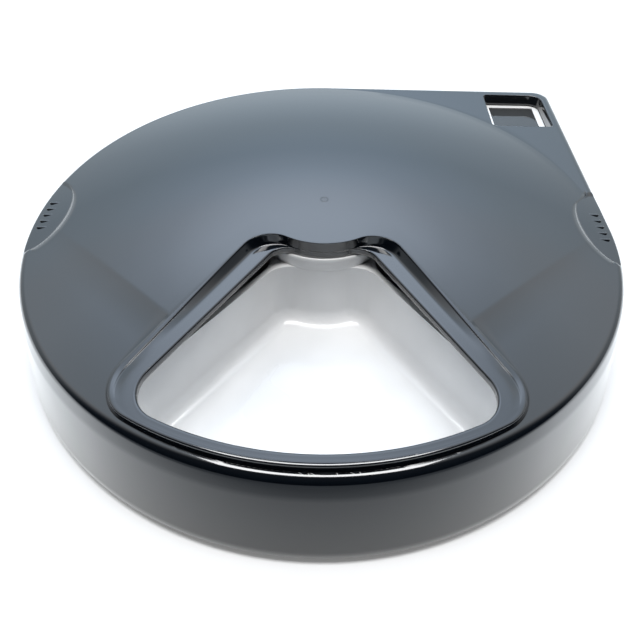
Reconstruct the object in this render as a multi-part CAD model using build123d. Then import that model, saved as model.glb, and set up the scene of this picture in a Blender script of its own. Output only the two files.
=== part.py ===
from build123d import *
import os
from math import acos, atan2, cos, degrees, floor, hypot, pi, radians, sin, sqrt, tan

# Five-bowl automatic pet feeder: a glossy lid over a tray of five bowls that a geared motor turns
# one bowl at a time. Millimetres, +Z up, origin on the tray's turning axis at floor level,
# food opening towards -Y, display corner towards +X +Y.

# Lid
lid_foot_radius = 154.4
lid_wall_lean = 8.4
lid_foot_height = 4.0
lid_rim_height = 48.0
lid_apex_height = 61.0
lid_wall = 2.2
lid_rim_round = 4.0
lid_corner_round = 15.0
dome_edge_margin = 4.0
gate_mark_radius = 1.8
gate_mark_depth = 0.4
gate_nub_radius = 0.7

# Food opening in the lid, and the frame round it
opening_half_angle = radians(29.4)
opening_side_offset = 4.5
opening_inner_margin = 0.8
opening_front_margin = 9.4
opening_inner_round = 12.0
opening_front_round = 9.5
ledge_rise = 4.6
lip_thickness = 3.0
ledge_width = 7.6
ledge_end_width = 0.6
frame_half_angle = radians(36.0)
frame_side_offset = 8.7
frame_front_width = 4.9
frame_front_round = 15.0
frame_wall = 3.0
frame_root_width = 6.0
bead_rise = 1.4
bead_round = 1.2
recess_half_angle = radians(49.5)
recess_side_offset = -3.2
recess_end_step = 0.5
recess_tilt = radians(4.4)
recess_top_rise = 4.5

# Thumb pads at the lid's sides
pad_reach = 17.5
pad_half_length = 29.5
pad_depth = 0.8
pad_ridge_count = 5
pad_ridge_pitch = 5.0
pad_ridge_width = 1.4
pad_ridge_length = 8.0
pad_ridge_rise = 0.5
pad_ridge_inset = 8.0

# Window well over the display
well_width, well_length = 37.2, 39.3
well_side_margin = 6.6
well_back_margin = 7.8
well_depth = 6.6
well_slope = 0.3
well_wall = 1.8

# Ribs inside the skirt that rest on the base's rim and centre the lid
rib_angles = (100.0, 150.0, 200.0, 250.0, 300.0, 350.0)
rib_width = 4.0
rib_tooth = 10.0
rib_gap = 0.3

# Base
floor_gap = 2.0
base_floor = 3.0
base_wall = 2.0
base_lid_gap = 2.2
base_wall_drop = 10.0
pod_step = 2.6
pod_wall = 2.2
pod_corner_round = 13.0
pod_hollow_inset = 14.6
glide_rail_inset = 19.5
glide_rail_width = 3.0
glide_gap = 0.2
duct_half_width = 2.6
duct_wall = 1.4
duct_height = 3.4
duct_cover_thickness = 1.2

# Feet
foot_ring_radius = 96.0
foot_ring_width = 8.0
corner_foot_radius = 6.5
corner_foot_insets = (13.2, 48.2)

# Bowl tray
bowl_count = 5
tray_ring_gap = 2.1
tray_lid_gap = 0.8
tray_underside = 11.0
tray_floor = 2.0
tray_flange_width = 1.7
tray_flange_thickness = 2.0
bowl_side_wall = 2.6
bowl_outer_wall = 2.6
tray_tower_gap = 2.6
bowl_taper = radians(4.0)
bowl_inner_round = 13.0
bowl_outer_round = 14.0
bowl_floor_round = 8.0
column_wall = 2.2
web_thickness = 2.0
web_bore = 6.0

# Cooling packs under the tray
pack_tower_gap = 15.3
pack_rail_gap = 6.0
pack_thickness = 5.6
pack_round = 1.5
pack_gap_half_width = 6.0
plug_radius = 6.0
plug_seat_depth = 1.6
plug_thickness = 1.4

# Drive tower
tower_radius = 29.7
tower_wall = 2.2
tower_top = 24.0
gear_plate_thickness = 2.0
gear_case_height = 12.4
gear_case_roof = 2.0
gear_case_bore_gap = 0.3
screw_post_radius = 3.2
screw_post_inset = 6.7
screw_post_angles = (140.0, 215.0, 290.0)
gear_screw_radius = 1.1
gear_screw_head_radius = 2.2
gear_screw_head_height = 1.4
gear_screw_grip = 8.0

# Gear train: a motor pinion and two double gears bring the speed down to the drive hub
gear_module = 0.42
pinion_teeth = 12
wheel_teeth = 48
pressure_angle = radians(20.0)
pinion_addendum = 1.0
wheel_addendum = 0.75
gear_dedendum = 1.2
gear_backlash = 0.09
gear_width = 2.8
gear_gap = 0.5
axle_clearance = 0.05
side_axle_radius = 1.0
hub_axle_radius = 1.5
boss_wall = 0.8
second_gear_angle = 0.0
first_gear_angle = 110.0
motor_angle = 190.0
motor_shaft_radius = 0.75

# Drive hub
hub_shaft_radius = 6.0
hub_bore_clearance = 0.08
index_disc_radius = 19.0
index_disc_thickness = 0.9
index_disc_lift = 1.2
index_notch_width = 3.0
index_notch_depth = 3.0
hub_flange_radius = 14.0
hub_tray_gap = 0.2
dog_count = 3
dog_distance = 9.5
dog_radius = 1.8
dog_rise = 2.6
dog_clearance = 0.3
clip_radius = 3.4
clip_thickness = 0.5

# Motor
motor_width = 15.5
motor_depth = 12.0
motor_length = 16.0
motor_cap_length = 2.0
motor_screw_pitch = 9.0

# Index sensor
sensor_angle = 45.0
sensor_width = 7.0
sensor_overlap = 2.6
sensor_root = 3.0
sensor_gap = 0.3
sensor_jaw = 1.1

# Battery bay and its door
cell_radius = 7.25
cell_length = 49.5
cell_nub_radius = 2.7
cell_nub_length = 1.0
cell_gap = 0.5
cell_floor_gap = 0.3
contact_thickness = 0.5
contact_gap = 0.3
bay_wall = 1.4
bay_roof = 1.4
bay_far_inset = 0.4
door_thickness = 1.6
door_tongue = 1.0
door_tongue_thickness = 0.7
door_gap = 0.25
door_overlap = 1.5
grip_groove_count = 3
grip_groove_pitch = 3.0
grip_groove_width = 1.2
grip_groove_depth = 0.5

# Control pod
panel_thickness = 2.0
frame_lip = 0.8
display_width, display_length = 36.3, 40.2
display_side_margin = 5.1
display_back_margin = 5.4
display_border = 3.8
display_fit = 0.2
lens_thickness = 1.0
glass_thickness = 1.6
pillar_radius = 3.2
pillar_near_inset, pillar_far_inset = 80.2, 8.2
board_depth = 8.4
board_thickness = 1.6
board_clearance = 1.2
panel_screw_radius = 1.3
panel_screw_head_radius = 2.6
panel_screw_head_height = 1.4
panel_screw_grip = 9.0
button_radius = 4.4
button_gap = 0.08
button_flange = 0.9
button_flange_thickness = 1.2
button_proud = 2.0
button_travel = 0.7
button_travel_spare = 0.1
button_stop_gap = 0.2
button_insets = ((10.2, 69.2), (15.2, 54.2), (54.2, 15.2))
switch_size = 6.0
switch_height = 3.2
plunger_radius = 1.7
chip_size = 7.0
chip_height = 1.6
buzzer_radius = 5.0
buzzer_height = 4.0
buzzer_insets = (67.2, 9.7)
chip_insets = (45.2, 7.7)
screw_slot_width = 0.8

# Leads
lead_radius = 0.6
lead_bend = 3.0
lead_pitch = 1.7
lead_floor_gap = 0.2
lead_layer = 1.4
lead_riser_gap = 4.9
lead_riser_pitch = 2.0


# Sizes worked out from the ones above
lid_rim_radius = lid_foot_radius - lid_wall_lean
opening_front_radius = lid_rim_radius - opening_front_margin
frame_front_radius = opening_front_radius + frame_front_width
ledge_height = lid_rim_height + ledge_rise
recess_top_at_axis = lid_apex_height + recess_top_rise
well_high_x = lid_rim_radius - well_side_margin
well_high_y = lid_rim_radius - well_back_margin
well_low_x, well_low_y = well_high_x - well_width, well_high_y - well_length

base_floor_top = floor_gap + base_floor
base_wall_top = lid_rim_height - base_wall_drop
base_ring_radius = lid_rim_radius - lid_wall - base_lid_gap
base_ring_inner = base_ring_radius - base_wall
pod_radius = base_ring_radius + pod_step
pod_hollow_distance = base_ring_radius - pod_hollow_inset
lead_riser_distance = base_ring_radius + lead_riser_gap
screw_post_distance = tower_radius - screw_post_inset

tray_radius = base_ring_inner - tray_ring_gap
tray_rim_top = lid_rim_height - lid_wall - tray_lid_gap
glide_rail_radius = tray_radius - glide_rail_inset
bowl_inner_radius = tower_radius + tray_tower_gap + column_wall
opening_inner_radius = bowl_inner_radius - opening_inner_margin
pack_inner_radius = tower_radius + pack_tower_gap
pack_outer_radius = glide_rail_radius - pack_rail_gap


def pod_place(insets):
    return (pod_radius - insets[0], pod_radius - insets[1])


corner_foot_place = pod_place(corner_foot_insets)
buzzer_place = pod_place(buzzer_insets)
chip_place = pod_place(chip_insets)
button_places = [pod_place(insets) for insets in button_insets]
pillar_near, pillar_far = pod_place((pillar_near_inset, pillar_far_inset))
display_high_x, display_high_y = pod_place((display_side_margin, display_back_margin))
display_low_x = display_high_x - display_width
display_low_y = display_high_y - display_length
glass_low_x, glass_high_x = display_low_x + display_border, display_high_x - display_border
glass_low_y, glass_high_y = display_low_y + display_border, display_high_y - display_border
board_top = base_wall_top - board_depth


# Small helpers for plain shapes

def bar(low_x, high_x, low_y, high_y, low_z, high_z):
    size = (high_x - low_x, high_y - low_y, high_z - low_z)
    return Pos(low_x, low_y, low_z) * Box(*size, align=(Align.MIN, Align.MIN, Align.MIN))


def disc(radius, low_z, high_z, at=(0.0, 0.0)):
    base = (Align.CENTER, Align.CENTER, Align.MIN)
    return Pos(at[0], at[1], low_z) * Cylinder(radius, high_z - low_z, align=base)


def tube(outer, inner, low_z, high_z, at=(0.0, 0.0)):
    return disc(outer, low_z, high_z, at) - disc(inner, low_z, high_z, at)


def prism(face, low_z, high_z):
    return Pos(0, 0, low_z) * extrude(face, high_z - low_z)


def polar(distance, angle_deg, start=(0.0, 0.0)):
    angle = radians(angle_deg)
    return (start[0] + distance * cos(angle), start[1] + distance * sin(angle))


def corner_outline(radius, rounding):
    """A circle whose +X +Y quarter runs out into one square, rounded corner."""
    low = -radius * sqrt(0.5)
    bend = radius - rounding * (1 - sqrt(0.5))
    return make_face([
        ThreePointArc((0, radius), (low, low), (radius, 0)),
        Line((radius, 0), (radius, radius - rounding)),
        ThreePointArc((radius, radius - rounding), (bend, bend), (radius - rounding, radius)),
        Line((radius - rounding, radius), (0, radius)),
    ])


def sector_face(half_angle, side_offset, inner_radius, outer_radius, inner_round, outer_round):
    """A ring sector about -Y. Its sides stand side_offset outside two lines through the axis."""
    def side_point(radius):
        reach = sqrt(radius ** 2 - side_offset ** 2)
        return Vector(cos(half_angle) * side_offset + sin(half_angle) * reach,
                      sin(half_angle) * side_offset - cos(half_angle) * reach)

    inner, outer = side_point(inner_radius), side_point(outer_radius)
    face = make_face([
        Line(inner, outer),
        ThreePointArc(outer, (0, -outer_radius), (-outer.X, outer.Y)),
        Line((-outer.X, outer.Y), (-inner.X, inner.Y)),
        ThreePointArc((-inner.X, inner.Y), (0, -inner_radius), inner),
    ])
    middle = (inner_radius + outer_radius) / 2
    for near, rounding in ((False, outer_round), (True, inner_round)):
        corners = [v for v in face.vertices() if (hypot(v.X, v.Y) < middle) == near]
        corners = sorted(corners, key=lambda v: -abs(v.X))[:2] if not near else corners
        face = fillet(corners, rounding)
    return face


# Lid

def dome_ball(base_radius, base_height, apex_height):
    rise = apex_height - base_height
    sphere_radius = (base_radius ** 2 + rise ** 2) / (2 * rise)
    return Pos(0, 0, apex_height - sphere_radius) * Sphere(sphere_radius)


def dome_cap(base_radius, base_height, apex_height):
    ball = dome_ball(base_radius, base_height, apex_height)
    return ball & disc(base_radius, base_height - lid_wall, apex_height + lid_wall)


def lid_form(inset):
    """The lid's full outer form, or with an inset its hollow inside."""
    low = lid_foot_height if inset == 0 else lid_foot_height - lid_wall
    slope = (lid_foot_radius - lid_rim_radius) / (lid_rim_height - lid_foot_height)
    top = lid_rim_height - inset
    foot_radius = lid_foot_radius - inset + slope * (lid_foot_height - low)
    top_radius = lid_rim_radius - inset + slope * inset
    rounding = lid_corner_round - inset
    skirt = loft([Pos(0, 0, low) * corner_outline(foot_radius, rounding),
                  Pos(0, 0, top) * corner_outline(top_radius, rounding)], ruled=True)
    edge_round = lid_rim_round - inset
    skirt = fillet(skirt.faces().sort_by(Axis.Z)[-1].edges(), edge_round)
    cap_radius = lid_rim_radius - dome_edge_margin - inset
    return skirt + dome_cap(cap_radius, top, lid_apex_height - inset)


def opening_frame(outer_form):
    """The solid rim that carries the ledge: a raised pad outside, a deep collar inside."""
    inner_radius = opening_inner_radius - frame_wall
    plan = sector_face(frame_half_angle, frame_side_offset, inner_radius,
                       frame_front_radius, opening_inner_round, frame_front_round)
    low = ledge_height - lip_thickness
    pad = prism(plan, low, ledge_height + bead_rise)
    pad = fillet(pad.faces().sort_by(Axis.Z)[-1].edges(), bead_round)
    collar = prism(plan, low, lid_apex_height) & outer_form
    root = prism(plan, lid_rim_height - lid_wall / 2, ledge_height)
    root -= disc(opening_front_radius - frame_root_width, 0, lid_apex_height)
    return pad + collar + root


def frame_recess():
    """The sunk ledge and its sloping walls, open to the front."""
    far = lid_foot_radius
    lower = sector_face(opening_half_angle, opening_side_offset + ledge_width,
                        opening_inner_radius - ledge_end_width, far,
                        opening_inner_round, bead_round)
    upper = sector_face(recess_half_angle, recess_side_offset,
                        opening_inner_radius - ledge_end_width - recess_end_step, far,
                        opening_inner_round, bead_round)
    tilted = Plane(origin=(0, 0, recess_top_at_axis), x_dir=(1, 0, 0),
                   z_dir=(0, -sin(recess_tilt), cos(recess_tilt)))
    return loft([Pos(0, 0, ledge_height) * lower, tilted * upper], ruled=True)


def food_opening(low_z, high_z):
    plan = sector_face(opening_half_angle, opening_side_offset, opening_inner_radius,
                       opening_front_radius, opening_inner_round, opening_front_round)
    return prism(plan, low_z, high_z)


def window_well(grow, low_z, high_z):
    """The well's tapering shaft, measured at the lid's flat corner and grown by a wall."""
    def level(z):
        inset = well_slope * (lid_rim_height - z) / well_depth - grow
        wide = well_high_x - well_low_x - 2 * inset
        deep = well_high_y - well_low_y - 2 * inset
        middle = ((well_low_x + well_high_x) / 2, (well_low_y + well_high_y) / 2, z)
        return Pos(*middle) * Rectangle(wide, deep)
    return loft([level(low_z), level(high_z)], ruled=True)


def thumb_scallop(side):
    """The shallow oval dip in the lid's edge, its floor level with the dome."""
    plan = Pos(side * lid_rim_radius, 0) * Ellipse(pad_reach, pad_half_length)
    ball = dome_ball(lid_rim_radius - dome_edge_margin, lid_rim_height, lid_apex_height)
    return prism(plan, lid_rim_height - lid_rim_round - pad_depth, lid_apex_height) - (
        Pos(0, 0, -pad_depth) * ball)


def thumb_ridges(side):
    ball = dome_ball(lid_rim_radius - dome_edge_margin, lid_rim_height, lid_apex_height)
    ball = Pos(0, 0, pad_ridge_rise - pad_depth) * ball
    ridges = []
    for number in range(pad_ridge_count):
        y = (number - (pad_ridge_count - 1) / 2) * pad_ridge_pitch
        x = side * (lid_rim_radius - pad_ridge_inset)
        ridge = Pos(x, y) * SlotOverall(pad_ridge_length, pad_ridge_width)
        ridges.append(prism(ridge, lid_rim_height - lid_wall, lid_apex_height) & ball)
    return ridges


def carrier_rib(angle, outer_form):
    """A rib under the lid's edge that stands on the base's rim, with a tooth outside it."""
    half = rib_width / 2
    rib = bar(base_ring_inner + rib_gap, lid_foot_radius, -half, half,
              base_wall_top, lid_rim_height - lid_wall / 2)
    rib += bar(base_ring_radius + rib_gap, lid_foot_radius, -half, half,
               base_wall_top - rib_tooth, base_wall_top)
    return (Rot(0, 0, angle) * rib) & outer_form


def lid_shell():
    outer_form = lid_form(0)
    lid = outer_form - lid_form(lid_wall)
    lid += opening_frame(outer_form)
    lid -= frame_recess()
    lid -= food_opening(lid_foot_height, lid_apex_height + lid_wall)
    well_bottom = lid_rim_height - well_depth
    lid += window_well(well_wall, well_bottom, lid_rim_height - lid_wall / 2)
    lid -= window_well(0, well_bottom - lid_wall, lid_rim_height + lid_wall)
    for side in (-1, 1):
        lid -= thumb_scallop(side)
        for ridge in thumb_ridges(side):
            lid += ridge
    lid -= disc(gate_mark_radius, lid_apex_height - gate_mark_depth, lid_apex_height + lid_wall)
    lid += disc(gate_nub_radius, lid_apex_height - lid_wall, lid_apex_height - gate_mark_depth / 2)
    for angle in rib_angles:
        lid += carrier_rib(angle, outer_form)
    return lid


# Bowl tray

def bowl_face(inset, z):
    return Pos(0, 0, z) * sector_face(
        pi / bowl_count, -bowl_side_wall / 2 - inset, bowl_inner_radius + inset,
        tray_radius - bowl_outer_wall - inset, bowl_inner_round - inset, bowl_outer_round - inset)


def bowl_hollow():
    floor_top = tray_underside + tray_floor
    inset = (tray_rim_top - floor_top) * tan(bowl_taper)
    hollow = loft([bowl_face(inset, floor_top), bowl_face(0, tray_rim_top)], ruled=True)
    return fillet(hollow.faces().sort_by(Axis.Z)[0].edges(), bowl_floor_round)


def five_bowl_tray():
    tray = disc(tray_radius, tray_underside, tray_rim_top)
    tray += disc(tray_radius + tray_flange_width, tray_rim_top - tray_flange_thickness, tray_rim_top)
    hollow = bowl_hollow()
    for number in range(bowl_count):
        tray -= Rot(0, 0, 360 / bowl_count * number) * hollow
    web_underside = tray_rim_top - web_thickness
    tray -= disc(bowl_inner_radius - column_wall, tray_underside, web_underside)
    tray -= disc(web_bore, web_underside, tray_rim_top)
    for number in range(dog_count):
        at = polar(dog_distance, 360 / dog_count * number)
        tray -= disc(dog_radius + dog_clearance, web_underside, tray_rim_top, at)
    return tray


# Cooling packs

def diagonal_box(low_d, high_d, half_width, low_z, high_z):
    """A box along the line from the axis to the corner, low_d to high_d from the axis."""
    return Rot(0, 0, 45) * bar(low_d, high_d, -half_width, half_width, low_z, high_z)


def plug_place(side):
    return polar((pack_inner_radius + pack_outer_radius) / 2, 45 + side * 90)


def cooling_pack(side):
    low = floor_gap + base_floor
    ring = tube(pack_outer_radius, pack_inner_radius, low, low + pack_thickness)
    half = Rot(0, 0, 45) * bar(-pack_outer_radius, pack_outer_radius, pack_gap_half_width,
                               pack_outer_radius, low, low + pack_thickness)
    pack = ring & (half if side > 0 else Rot(0, 0, 180) * half)
    pack = fillet(pack.edges().group_by(Axis.Z)[-1] + pack.edges().group_by(Axis.Z)[0], pack_round)
    top = low + pack_thickness
    return pack - disc(plug_radius, top - plug_seat_depth, top, plug_place(side))


def filler_plug(side):
    seat = floor_gap + base_floor + pack_thickness - plug_seat_depth
    plug = disc(plug_radius, seat, seat + plug_thickness, plug_place(side))
    slot = Pos(*plug_place(side), 0) * bar(-plug_radius / 2, plug_radius / 2,
                                           -screw_slot_width / 2, screw_slot_width / 2,
                                           seat + plug_thickness / 2, seat + plug_thickness)
    return plug - slot


# Base

def pod_block(inset, near, low_z, high_z):
    beyond = diagonal_box(near, 2 * pod_radius, pod_radius, low_z, high_z)
    outline = corner_outline(pod_radius - inset, pod_corner_round - inset)
    return prism(outline, low_z, high_z) & beyond


cell_axis_z = base_floor_top - base_floor + door_thickness + cell_floor_gap + cell_radius
bay_high_x = pod_radius - pod_wall - bay_far_inset
bay_low_x = bay_high_x - cell_length - cell_nub_length - 2 * (contact_thickness + contact_gap)
bay_low_y = sqrt((base_ring_radius + contact_gap) ** 2 - bay_low_x ** 2)
bay_high_y = bay_low_y + 4 * cell_radius + cell_gap
bay_top = cell_axis_z + cell_radius + cell_gap
cell_rows = (bay_low_y + cell_radius, bay_high_y - cell_radius)
door_low_x = bay_low_x - door_overlap
door_high_x = pod_radius
door_low_y = bay_low_y - door_overlap
door_high_y = bay_high_y + door_overlap / 2
door_travel = cell_length + cell_nub_length + 2 * door_overlap
board_underside = board_top - board_thickness
pillar_places = ((pillar_far, pillar_near), (pillar_near, pillar_far))
duct_low = tower_radius - tower_wall
duct_high = base_ring_radius
battery_lead_x = bay_low_x + contact_thickness / 2


def battery_bay(tub):
    walls = bar(bay_low_x - bay_wall, pod_radius - pod_wall / 2, bay_low_y - bay_wall,
                pod_radius - pod_wall / 2, floor_gap, bay_top + bay_roof)
    walls -= disc(base_ring_inner, floor_gap, bay_top + bay_roof)
    tub += walls
    hollow = bar(bay_low_x, bay_high_x, bay_low_y, bay_high_y, floor_gap, bay_top)
    return tub - hollow


def door_recess():
    gap = door_gap
    far = pod_radius + pod_wall
    recess = bar(door_low_x - gap, far, door_low_y - gap, door_high_y + gap,
                 floor_gap, floor_gap + door_thickness + gap / 2)
    high = floor_gap + door_thickness
    groove_low = high - door_tongue_thickness - gap / 2
    groove = bar(door_low_x - gap, far, door_low_y - door_tongue - gap,
                 door_high_y + door_tongue + gap, groove_low, high + gap / 2)
    return recess + groove


def base_tub():
    tub = disc(base_ring_radius, floor_gap, base_wall_top)
    tub += pod_block(0, pod_radius * sqrt(0.5), floor_gap, base_wall_top)
    tub -= disc(base_ring_inner, base_floor_top, base_wall_top)
    pod_hollow = pod_block(pod_wall, pod_hollow_distance, base_floor_top, base_wall_top)
    tub -= pod_hollow - disc(base_ring_radius, base_floor_top, base_wall_top)
    tub += tube(tower_radius, tower_radius - tower_wall, floor_gap, tower_top)
    for angle in screw_post_angles:
        post = disc(screw_post_radius, floor_gap, tower_top, polar(screw_post_distance, angle))
        tub += post
        tub -= disc(gear_screw_radius, tower_top - gear_screw_grip, tower_top,
                    polar(screw_post_distance, angle))
    rail_top = tray_underside - glide_gap
    rail = tube(glide_rail_radius + glide_rail_width, glide_rail_radius, floor_gap, rail_top)
    duct_outer = duct_half_width + duct_wall
    rail -= diagonal_box(0, pod_radius, duct_outer, base_floor_top, rail_top)
    tub += rail
    tub += diagonal_box(duct_low, duct_high, duct_outer, floor_gap, base_floor_top + duct_height)
    tub = battery_bay(tub)
    for x, y in pillar_places:
        tub += disc(pillar_radius, floor_gap, board_underside, (x, y))
        tub -= disc(panel_screw_radius, board_underside - panel_screw_grip, board_underside, (x, y))
    tub -= diagonal_box(duct_low - tower_wall, duct_high + pod_wall, duct_half_width,
                        base_floor_top, base_floor_top + duct_height)
    for y in cell_rows:
        tub -= disc(lead_radius + axle_clearance, bay_top, bay_top + bay_roof, (battery_lead_x, y))
    tub -= door_recess()
    return tub


def duct_cover():
    low = base_floor_top + duct_height
    half = duct_half_width + duct_wall
    start = tower_radius + 2 * lead_bend
    end = base_ring_inner - display_fit
    cover = diagonal_box(start, end, half, low, low + duct_cover_thickness)
    rib_half = duct_half_width - display_fit
    rib_low = low - duct_cover_thickness / 2
    rib = diagonal_box(start, end, rib_half, rib_low, low)
    groove = diagonal_box(start, end, rib_half - duct_wall / 2, rib_low, low)
    return cover + (rib - groove)


def foot_ring():
    half = foot_ring_width / 2
    ring = tube(foot_ring_radius + half, foot_ring_radius - half, 0, floor_gap)
    return chamfer(ring.edges().group_by(Axis.Z)[0], floor_gap / 4)


def corner_foot():
    pad = disc(corner_foot_radius, 0, floor_gap, corner_foot_place)
    return chamfer(pad.edges().group_by(Axis.Z)[0], floor_gap / 4)


# Battery door, cells and contacts

def battery_door():
    door = bar(door_low_x, door_high_x, door_low_y, door_high_y, floor_gap,
               floor_gap + door_thickness)
    high = floor_gap + door_thickness
    door += bar(door_low_x, door_high_x, door_low_y - door_tongue, door_high_y + door_tongue,
                high - door_tongue_thickness, high)
    middle_y = (door_low_y + door_high_y) / 2
    reach = (door_high_y - door_low_y) / 4
    for number in range(grip_groove_count):
        x = door_high_x - 3 * grip_groove_pitch - number * grip_groove_pitch
        door -= bar(x, x + grip_groove_width, middle_y - reach, middle_y + reach,
                    floor_gap, floor_gap + grip_groove_depth)
    return door


def battery_cells():
    low = bay_low_x + contact_thickness + contact_gap
    cells = []
    for row, y in enumerate(cell_rows):
        body_low = low if row == 0 else low + cell_nub_length
        nub_low = body_low + cell_length if row == 0 else low
        turn = Rot(0, 90, 0)
        base = (Align.CENTER, Align.CENTER, Align.MIN)
        body = Pos(body_low, y, cell_axis_z) * turn * Cylinder(cell_radius, cell_length, align=base)
        nub = Pos(nub_low, y, cell_axis_z) * turn * Cylinder(cell_nub_radius, cell_nub_length,
                                                             align=base)
        cells.append(body + nub)
    return cells


def contact_plates():
    """Two end contacts on the inner side and one bridge across both cells on the outer side."""
    low_z, high_z = cell_axis_z - cell_radius / 2, bay_top
    plates = []
    for y in cell_rows:
        plates.append(bar(bay_low_x, bay_low_x + contact_thickness, y - cell_radius / 2,
                          y + cell_radius / 2, low_z, high_z))
    plates.append(bar(bay_high_x - contact_thickness, bay_high_x, cell_rows[0] - cell_radius / 2,
                      cell_rows[1] + cell_radius / 2, low_z, high_z))
    return plates


# Control pod

def control_panel():
    top = base_wall_top + panel_thickness
    panel = pod_block(0, pod_hollow_distance - pod_wall, base_wall_top, top)
    panel -= disc(base_ring_inner, base_wall_top, top)
    fit = display_fit
    lip = frame_lip
    panel -= bar(display_low_x + lip - fit, display_high_x - lip + fit,
                 display_low_y + lip - fit, display_high_y - lip + fit, base_wall_top, top)
    for x, y in button_places:
        panel -= disc(button_radius + button_gap, base_wall_top, top, (x, y))
    for x, y in pillar_places:
        panel += disc(pillar_radius, board_top, base_wall_top, (x, y))
        panel -= disc(panel_screw_radius + axle_clearance, board_top, top, (x, y))
    return panel


def display_frame():
    top = base_wall_top + panel_thickness
    lip = frame_lip
    frame = bar(display_low_x, display_high_x, display_low_y, display_high_y, top, top + lip)
    frame += bar(display_low_x + lip, display_high_x - lip, display_low_y + lip,
                 display_high_y - lip, board_top, top)
    frame -= bar(glass_low_x, glass_high_x, glass_low_y, glass_high_y, board_top, top + lip)
    return frame


def display_lens():
    top = base_wall_top + panel_thickness + frame_lip / 2
    return bar(glass_low_x + axle_clearance, glass_high_x - axle_clearance,
               glass_low_y + axle_clearance, glass_high_y - axle_clearance,
               top - lens_thickness, top)


def display_glass():
    top = base_wall_top + panel_thickness + frame_lip / 2 - lens_thickness
    return bar(glass_low_x + axle_clearance, glass_high_x - axle_clearance,
               glass_low_y + axle_clearance, glass_high_y - axle_clearance,
               top - glass_thickness, top)


def display_carrier():
    """The backlight block that lifts the glass from the board to the window."""
    top = base_wall_top + panel_thickness + frame_lip / 2 - lens_thickness - glass_thickness
    return bar(glass_low_x + axle_clearance, glass_high_x - axle_clearance,
               glass_low_y + axle_clearance, glass_high_y - axle_clearance, board_top, top)


def circuit_board():
    edge = pod_radius - pod_wall - board_clearance
    near = sqrt((base_ring_radius + board_clearance) ** 2 - edge ** 2)
    near = max(near, pillar_near - pillar_radius - board_clearance)
    board = bar(near, edge, near, edge, board_underside, board_top)
    board &= prism(corner_outline(edge, pod_corner_round - pod_wall), board_underside, board_top)
    board -= disc(base_ring_radius + board_clearance, board_underside, board_top)
    for x, y in pillar_places:
        board -= disc(panel_screw_radius + axle_clearance, board_underside, board_top, (x, y))
    return board


def switch_body(at):
    x, y = at
    half = switch_size / 2
    return bar(x - half, x + half, y - half, y + half, board_top, board_top + switch_height)


button_top = base_wall_top + panel_thickness + button_proud
plunger_top = board_top + switch_height + plunger_radius / 4
button_low = plunger_top + button_travel + button_travel_spare
flange_top = base_wall_top - button_stop_gap


def switch_plunger(at):
    return disc(plunger_radius, board_top + switch_height, plunger_top, at)


def button(at):
    cap = disc(button_radius, button_low, button_top, at)
    cap = fillet(cap.edges().group_by(Axis.Z)[-1], button_travel)
    return cap + disc(button_radius + button_flange, flange_top - button_flange_thickness,
                      flange_top, at)


def panel_screws():
    top = base_wall_top + panel_thickness
    screws = []
    for at in pillar_places:
        shank = disc(panel_screw_radius, board_underside - panel_screw_grip, top, at)
        head = disc(panel_screw_head_radius, top, top + panel_screw_head_height, at)
        slot = Pos(*at, 0) * bar(-panel_screw_head_radius, panel_screw_head_radius,
                                 -screw_slot_width / 2, screw_slot_width / 2,
                                 top + panel_screw_head_height / 2, top + panel_screw_head_height)
        screws.append(shank + (head - slot))
    return screws


def timer_chip():
    x, y = chip_place
    half = chip_size / 2
    return bar(x - half, x + half, y - half, y + half, board_top, board_top + chip_height)


def buzzer():
    return disc(buzzer_radius, board_top, board_top + buzzer_height, buzzer_place)


# Gear train

def involute(angle):
    return tan(angle) - angle


def gear_face(teeth, addendum, turn):
    """A spur gear's outline with one tooth centred on the direction turn, in radians."""
    pitch = gear_module * teeth / 2
    base = pitch * cos(pressure_angle)
    tip = pitch + addendum * gear_module
    root = pitch - gear_dedendum * gear_module
    half_tooth = pi / (2 * teeth) - gear_backlash / (2 * pitch) + involute(pressure_angle)
    start = max(base, root)
    flank_steps = 3
    flank = []
    if root < base:
        flank.append((root, half_tooth))
    for step in range(flank_steps + 1):
        radius = start + (tip - start) * step / flank_steps
        flank.append((radius, half_tooth - involute(acos(min(1.0, base / radius)))))
    points = []
    for tooth in range(teeth):
        middle = turn + 2 * pi * tooth / teeth
        points += [(r * cos(middle - a), r * sin(middle - a)) for r, a in flank]
        points += [(r * cos(middle + a), r * sin(middle + a)) for r, a in reversed(flank)]
    return make_face(Polyline(*points, close=True))


gear_distance = gear_module * (pinion_teeth + wheel_teeth) / 2
hub_axis = (0.0, 0.0)
second_axis = polar(gear_distance, second_gear_angle)
first_axis = polar(gear_distance, first_gear_angle, second_axis)
motor_axis = polar(gear_distance, motor_angle, first_axis)
gear_plate_top = tower_top + gear_plate_thickness
first_level = gear_plate_top + gear_gap
second_level = first_level + gear_width + gear_gap
third_level = second_level + gear_width + gear_gap
gear_case_top = gear_plate_top + gear_case_height
hub_top = tray_rim_top - web_thickness - hub_tray_gap


def direction(start, end):
    return atan2(end[1] - start[1], end[0] - start[0])


def meshing_turn(wheel_turn, wheel_axis, pinion_axis):
    """The pinion's turn that puts one of its gaps on the wheel's tooth nearest the pinion."""
    towards = direction(wheel_axis, pinion_axis)
    pitch = 2 * pi / wheel_teeth
    offset = (towards - wheel_turn) / pitch
    lead = (offset - floor(offset + 0.5)) * pitch
    back = towards + pi
    return back + lead * wheel_teeth / pinion_teeth + pi / pinion_teeth


def spur(teeth, addendum, turn, axis, low_z):
    plan = gear_face(teeth, addendum, turn)
    return Pos(axis[0], axis[1], 0) * prism(plan, low_z, low_z + gear_width)


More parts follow.
